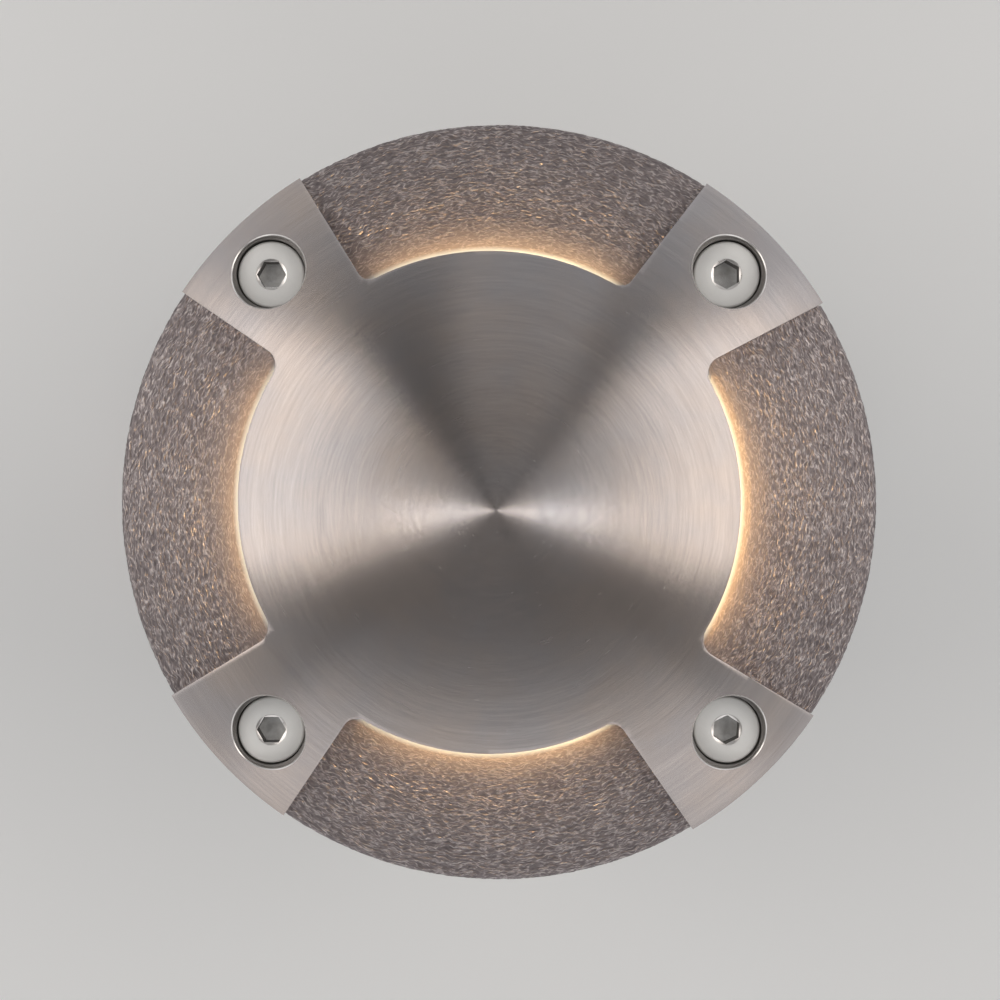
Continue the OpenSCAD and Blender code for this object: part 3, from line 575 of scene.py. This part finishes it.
def window_tool(first, last, corner):
    """What is taken away over an apron, a little deeper than the cast skin that is laid in."""
    starts = rounded_corner(last, 1, corner)
    ends = rounded_corner(first, -1, corner)
    turns = [math.atan2(p.y - LID_AT.y, p.x - LID_AT.x) for p in (starts[-1], ends[-1])]
    if turns[0] < turns[1]:
        turns[0] += math.tau
    past_rim, below = 3 * MM, 1 * MM
    plan = [polar(RIM_R + past_rim, a) for a in steps(first[1], last[1], 16)]
    plan += starts
    plan += [LID_AT + polar(LID_R, math.degrees(t)) for t in steps(*turns, 64)[1:-1]]
    plan += ends[::-1]
    bm = bmesh.new()
    base = bm.faces.new([bm.verts.new((p.x, p.y, PAVING - below)) for p in plan])
    grown = bmesh.ops.extrude_face_region(bm, geom=[base], use_keep_orig=True)
    bmesh.ops.translate(bm, verts=[g for g in grown["geom"] if isinstance(g, bmesh.types.BMVert)],
                        vec=(0, 0, ABOVE + below))
    bmesh.ops.recalc_face_normals(bm, faces=bm.faces)
    edge, wide, deep = RIM_R - 2 * SKIN_SINK, RIM_R + 6 * MM, 5 * MM
    under = [(0, -deep), (wide, -deep), (wide, SKIN_FOOT), (edge, SKIN_FOOT)]
    under += [(r, apron_h(r) - SKIN_SINK) for r in steps(edge, LEDGE_R, 8)]
    under += [(0, SILL_H - SKIN_SINK)]
    return carved(bm, [turned(under, 120)])


def throat_tool(first, last):
    """The slot under the lid's edge that the light leaves by."""
    inner, outer = CAVITY_R - 1 * MM, LID_R + THROAT_PAST_LID
    points = [(inner, SILL_H - SKIN_SINK), (outer, SILL_H - SKIN_SINK)]
    points += [(r, vault_h(r)) for r in steps(outer, inner, 6)]
    start = math.radians(first[0] + THROAT_TRIM)
    return turned(points, 48, math.radians(last[0] - THROAT_TRIM) - start, start)


def bore_tool(turn):
    """A stepped bore for one face screw, with a small chamfer that follows the dome."""
    low_mark, high_mark = 22 * MM, 23 * MM
    foot = SEAT_H - BORE_DEEP
    points = [(0, foot), (SCREW_HOLE_R, foot), (SCREW_HOLE_R, SEAT_H),
              (BORE_LEDGE_R, SEAT_H), (BORE_LEDGE_R, BORE_LEDGE_H),
              (BORE_R, BORE_LEDGE_H), (BORE_R, low_mark),
              (BORE_R + BORE_FLARE, high_mark), (BORE_R + BORE_FLARE, ABOVE),
              (0, ABOVE)]
    bm = turned(points, ROUND_TURNS)
    wide = [v for v in bm.verts if v.co.xy.length > BORE_LEDGE_R + 0.02 * MM]
    bmesh.ops.translate(bm, verts=wide, vec=(-BORE_IN, 0, 0))
    bmesh.ops.translate(bm, verts=bm.verts, vec=(SCREW_R, 0, 0))
    for v in bm.verts:
        for mark, over in ((low_mark, -BORE_EDGE), (high_mark, BORE_FLARE - BORE_EDGE)):
            if abs(v.co.z - PAVING - mark) < SAME:
                v.co.z = PAVING + dome_h(v.co.xy.length) + over
    bmesh.ops.rotate(bm, verts=bm.verts, cent=(0, 0, 0), matrix=Matrix.Rotation(turn, 3, "Z"))
    return bm


def from_screw(point):
    """Distance from the nearest screw's axis."""
    return min((point.xy - Vector((SCREW_R * math.cos(t), SCREW_R * math.sin(t)))).length
               for t in ARM_TURNS)


def face_body():
    """The turned face with its windows and bores cut, its edges softened and its bores marked
    with their own finishes, the chamfer at each bore's mouth with a lighter steel as a painted
    highlight."""
    windows = [window_tool(*w, c) for w, c in zip(WINDOWS, CORNERS)]
    openings = joined(windows + [bore_tool(t) for t in ARM_TURNS])
    bm = carved(face_blank(), [openings, joined([throat_tool(*w) for w in WINDOWS])])
    bmesh.ops.remove_doubles(bm, verts=bm.verts, dist=CUT_SAME)
    limit = math.radians(24)
    floor_z = PAVING - 0.1 * MM
    clear_r = BORE_R + 0.8 * MM
    sharp = [
        e for e in bm.edges
        if len(e.link_faces) == 2 and e.calc_face_angle(0) > limit
        and all(v.co.z > floor_z and from_screw(v.co) > clear_r for v in e.verts)
    ]
    bmesh.ops.bevel(bm, geom=sharp, offset=EDGE_SOFT, segments=2, profile=0.5, affect="EDGES",
                    material=-1, clamp_overlap=True)
    for f in bm.faces:
        middle = f.calc_center_median()
        if middle.z > floor_z and from_screw(middle) < BORE_R + BORE_IN + BORE_EDGE:
            deep = PAVING + dome_h(middle.xy.length) - middle.z
            # the mouth's chamfer takes the lighter steel as a painted highlight
            f.material_index = 1 if deep > BORE_EDGE else 2 if deep > 0.02 * MM else 0
    return bm


def relief(u, v, seed):
    """Height of the cast skin, 0 in its creases and 1 on its ridges, at u mm round and v mm
    outwards. Short strokes that lie round the light are bent a little."""
    bend = noise.noise(Vector((u / 5.0, v / 3.6, seed)))
    twist = noise.noise(Vector((u / 2.1, v / 1.7, seed + 9)))
    a, b = u + 0.5 * twist, v + 0.85 * bend + 0.22 * twist
    stroke = noise.noise(Vector((a / 0.85, b / 0.27, seed + 3)))
    return smooth((0.95 * stroke + 0.2 * twist + 0.35) / 0.80)


def side_at(side, radius):
    """Degrees of a window's side at a radius."""
    t = min(max((radius - SIDE_R) / (RIM_R - SIDE_R), 0.0), 1.0)
    return side[0] + (side[1] - side[0]) * t


def apron_skin(first, last, seed):
    """The cast skin of one apron, from inside the window out over the rim."""
    bevel_r = RIM_R - APRON_BEVEL
    top = [(r, apron_h(r)) for r in steps(CAVITY_R, SKIN_FINE_R, 8)]
    top += [(r, apron_h(r)) for r in steps(SKIN_FINE_R, bevel_r, SKIN_RINGS)[1:]]
    bevel_top = apron_h(bevel_r)
    top += [
        (bevel_r + APRON_BEVEL * math.sin(t), bevel_top - APRON_BEVEL * (1 - math.cos(t)))
        for t in steps(0, math.pi / 2, 9)[1:]
    ]
    top += [(RIM_R, h) for h in steps(bevel_top - APRON_BEVEL, SKIN_FOOT, 6)[1:]]
    under = [(RIM_R - SKIN_T, SKIN_FOOT), (RIM_R - SKIN_T, bevel_top - APRON_BEVEL)]
    under += [(r, apron_h(r) - SKIN_T) for r in steps(bevel_r - SKIN_T, CAVITY_R, 6)]
    bm = turned(top + under, SKIN_TURNS, 1.0, -0.5)
    # the plain wedge is spread between the sides of its window, with a little to spare
    for v in bm.verts:
        r = v.co.xy.length
        spare = SKIN_SPARE + SKIN_TUCK * smooth((SKIN_TUCK_R - r) / SKIN_TUCK_RUN)
        low, high = side_at(first, r) - spare, side_at(last, r) + spare
        turn = math.radians(low + (high - low) * (math.atan2(v.co.y, v.co.x) + 0.5))
        v.co.x, v.co.y = r * math.cos(turn), r * math.sin(turn)
    # the wrinkles sink from the cast surface, not from its underside, and fade out by the lid
    bm.normal_update()
    crest = bm.verts.layers.float.new("crest")
    lid_gap = bm.verts.layers.float.new("gap")
    moved = []
    for v in bm.verts:
        r = v.co.xy.length
        h = v.co.z - PAVING
        gap = v[lid_gap] = ((v.co.xy - LID_AT.xy).length - LID_R) / MM
        if h < apron_h(min(r, RIM_R - 1e-6)) - 0.3 * MM and r < RIM_R - 0.2 * MM:
            continue
        along = math.atan2(v.co.y, v.co.x) % math.tau * STROKE_R
        out = (r + max(0.0, bevel_top - h) * 0.9) / MM if r > bevel_r else r / MM
        near = 0.05 + 0.95 * smooth((gap - 0.8) / 9)
        height = relief(along, out, seed)
        # the crest layer gives the skin's colour a painted highlight on the ridges and painted
        # shade in the creases
        v[crest] = 0.5 + (height - 0.5) * near
        moved.append((v, v.co - v.normal * WRINKLE * near * (1 - height)))
    for v, co in moved:
        v.co = co
    return bm


face = placed(face_body(), "face_body", "luminaire", [stainless, bore_steel, highlight_steel])
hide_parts("face_cover")
for i, sides in enumerate(WINDOWS):
    obj = placed(apron_skin(*sides, 11.0 * (i + 1)), f"apron_skin_{i + 1}", "luminaire",
                 [cast_skin], 80)
    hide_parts("face_cover")


# ---- face screws

def arc(across, up, radius, first, last, count):
    """Points of an outline along an arc, from one angle to another in degrees."""
    return [(across + radius * math.cos(math.radians(t)), up + radius * math.sin(math.radians(t)))
            for t in steps(first, last, count)]


def face_screw(turn):
    """Flat round head with a soft edge, a chamfered hexagon socket and its drill point."""
    head = turned([(0, -SHANK_L), (SHANK_R, -SHANK_L), (SHANK_R, 0), (HEAD_R, 0)]
                  + arc(HEAD_R - HEAD_EDGE, HEAD_H - HEAD_EDGE, HEAD_EDGE, 0, 90, 5)
                  + [(0, HEAD_H)], ROUND_TURNS)
    over, floor_h = 1 * MM, HEAD_H - KEY_DEPTH
    socket = bmesh.new()
    bmesh.ops.create_cone(socket, cap_ends=True, segments=6, radius1=KEY_CORNER_R,
                          radius2=KEY_CORNER_R, depth=KEY_DEPTH + over,
                          matrix=Matrix.Rotation(turn, 4, "Z"))
    bmesh.ops.translate(socket, verts=socket.verts,
                        vec=(0, 0, PAVING + HEAD_H + (over - KEY_DEPTH) / 2))
    drill = turned([(0, floor_h - KEY_POINT_H), (DRILL_R, floor_h),
                    (DRILL_R, floor_h + 0.3 * MM), (0, floor_h + 0.3 * MM)], 48)
    lead = turned([(0, HEAD_H - KEY_LEAD_R * KEY_LEAD_SLOPE),
                   (KEY_LEAD_R + over, HEAD_H + over * KEY_LEAD_SLOPE),
                   (0, HEAD_H + over * KEY_LEAD_SLOPE)], ROUND_TURNS)
    bm = carved(head, [socket, drill, lead])
    bmesh.ops.remove_doubles(bm, verts=bm.verts, dist=CUT_SAME)
    for f in bm.faces:
        middle = f.calc_center_median()
        deep = PAVING + HEAD_H - middle.z
        if middle.xy.length < KEY_LEAD_R and 0.01 * MM < deep < HEAD_H + over:
            # socket walls take the dark steel as painted shade, and the leads the lighter steel
            # as a painted highlight
            f.material_index = 2 if f.normal.z < 0.6 else 1 if deep < SOCKET_EDGE else 3
    return bm


for i, turn in enumerate(ARM_TURNS):
    bm = face_screw(HEAD_TURNS[i])
    bmesh.ops.translate(bm, verts=bm.verts,
                        vec=(SCREW_R * math.cos(turn), SCREW_R * math.sin(turn), SEAT_H))
    obj = placed(bm, f"face_screw_{i + 1}", "luminaire",
                 [finishes["screw_head"], highlight_steel, shaded_socket_steel, socket_floor],
                 32)
    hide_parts("cover_screws")


# ---- softened copies of the other nodes that show

# In metres, points closer than WELD are joined and edges shorter than SLIVER are dissolved; an
# edge is rounded if its neighbours are ROOM times longer than the rounding is wide
WELD = 2e-6
SLIVER = 2e-5
ROOM = 1.2


def softened(node, width, shortest=0.0, upright=False):
    """A copy of a CAD node's mesh with its edges rounded, and those edges marked as worn. Edges
    with no room for it stay sharp, and so do the short ones and, where asked, all but the
    upright ones."""
    bm = bmesh.new()
    bm.from_mesh(frame["nodes"][node].data)
    worn = bm.verts.layers.float.new("worn")
    bmesh.ops.remove_doubles(bm, verts=bm.verts, dist=WELD)
    bmesh.ops.dissolve_degenerate(bm, dist=SLIVER, edges=bm.edges)
    bmesh.ops.dissolve_limit(bm, angle_limit=math.radians(0.5), verts=bm.verts, edges=bm.edges)
    low, high = math.radians(28), math.radians(126)
    edges = []
    for e in bm.edges:
        if len(e.link_faces) != 2 or not low < e.calc_face_angle(0) < high:
            continue
        run = e.verts[1].co - e.verts[0].co
        if run.length < shortest or upright and abs(run.z) < 0.99 * run.length:
            continue
        if all(n.calc_length() > ROOM * width for v in e.verts for n in v.link_edges):
            edges.append(e)
    made = bmesh.ops.bevel(bm, geom=edges, offset=width, segments=2, profile=0.5,
                           affect="EDGES", material=-1, clamp_overlap=False)
    rounded = set(made["faces"])
    for v in bm.verts:
        v[worn] = float(all(f in rounded for f in v.link_faces))
    return bm


# node: the rounding, and the shortest edge that takes it, in mm
SOFTENED = {
    "sleeve": (0.3, 1.5), "sleeve_base": (0.35, 0), "conduit_socket_1": (0.4, 0),
    "conduit_socket_2": (0.4, 0), "blanking_plug": (0.3, 0), "housing": (0.3, 15),
    "base_cap": (0.3, 1.5), "gland_body": (0.25, 0), "gland_nut": (0.15, 0),
    "base_screws": (0.15, 0), "retaining_spring_1": (0.1, 0),
    "retaining_spring_2": (0.1, 0), "retaining_spring_3": (0.1, 0),
}
bodies = {node: body for body, nodes in frame["record"]["behaviour"]["bodies"].items()
          for node in nodes}
slots = {row["node"]: row["material_slot"] for row in frame["record"]["subparts"]}
for node, (width, shortest) in SOFTENED.items():
    shape = softened(node, width * MM, shortest * MM, node == "housing")
    obj = placed(shape, "dressed_" + node, bodies[node], [finishes[slots[node]]], 32)
    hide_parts(node)


# ---- stage

def softbox(name, azimuth, elevation, width, height, radiance, colour=(1, 1, 1), distance=0.9):
    """An area light that looks at the face: degrees round and up, and metres across."""
    light = bpy.data.lights.new(name, "AREA")
    light.shape = "RECTANGLE"
    light.size, light.size_y = width, height
    light.energy = radiance * math.pi * width * height
    light.color = colour
    obj = bpy.data.objects.new(name, light)
    bpy.context.scene.collection.objects.link(obj)
    a, e = math.radians(azimuth), math.radians(elevation)
    back = Vector((math.cos(a) * math.cos(e), math.sin(a) * math.cos(e), math.sin(e)))
    obj.location = Vector((0, 0, PAVING)) + back * distance
    obj.rotation_euler = back.to_track_quat("Z", "Y").to_euler()
    obj.visible_camera = False
    return obj


WARM_WHITE = (1.0, 0.95, 0.895)

# two small strips for the bright streaks on the dome, and large boxes for its broad tones
softbox("strip_right", -12, 79, 0.045, 0.13, 6.8)
softbox("strip_left", 192, 79, 0.045, 0.13, 6.8)
softbox("box_right", 12, 48, 0.68, 0.50, 1.78, WARM_WHITE)
softbox("box_left", 168, 48, 0.68, 0.50, 1.78, WARM_WHITE)
softbox("box_top", 82, 59, 0.40, 0.50, 0.32)
softbox("box_low", 270, 39, 1.45, 0.30, 0.82)
softbox("box_over", 0, 90, 0.22, 0.22, 0.22)

world = bpy.data.worlds.new("studio")
bpy.context.scene.world = world
world.use_nodes = True
sky = world.node_tree
up = sky.nodes.new("ShaderNodeSeparateXYZ")
sky.links.new(sky.nodes.new("ShaderNodeTexCoord").outputs["Generated"], up.inputs[0])
# the sky is pale at the horizon and dark overhead, where the dome would mirror it
level = sky.nodes.new("ShaderNodeValToRGB")
sky.links.new(up.outputs["Z"], level.inputs["Fac"])
bands = level.color_ramp
bands.elements[0].position, bands.elements[0].color = 0.24, (0.9, 0.9, 0.9, 1)
bands.elements[1].position, bands.elements[1].color = 0.85, (0.06, 0.06, 0.061, 1)
for place, grey in ((0.42, 0.64), (0.62, 0.42), (0.75, 0.12)):
    band = bands.elements.new(place)
    band.color = (grey, grey, grey, 1)
sky.links.new(level.outputs["Color"], sky.nodes["Background"].inputs["Color"])

bm = bmesh.new()
bmesh.ops.create_grid(bm, x_segments=8, y_segments=8, size=15.0)
floor = loose(bm, "floor")
f = Finish("floor_pale", Roughness=0.9)
f.link(f.colours(f.noise(f.place(), 3.0), (0.3, (0.90, 0.90, 0.90)), (0.7, (0.92, 0.92, 0.92))),
       "Base Color")
floor.data.materials.append(f.material)

camera = bpy.data.objects.new("camera", bpy.data.cameras.new("camera"))
bpy.context.scene.collection.objects.link(camera)
bpy.context.scene.camera = camera
camera.data.sensor_width = 36
camera.data.lens = 36 * (RIM_SHARE / (RIM_R / REACH))
camera.data.shift_x, camera.data.shift_y = 0.001, 0.0021
camera.data.clip_start = 0.01
camera.location = (0, 0, PAVING + RIM_SEEN_H + REACH)

bpy.context.scene.view_settings.view_transform = "Standard"
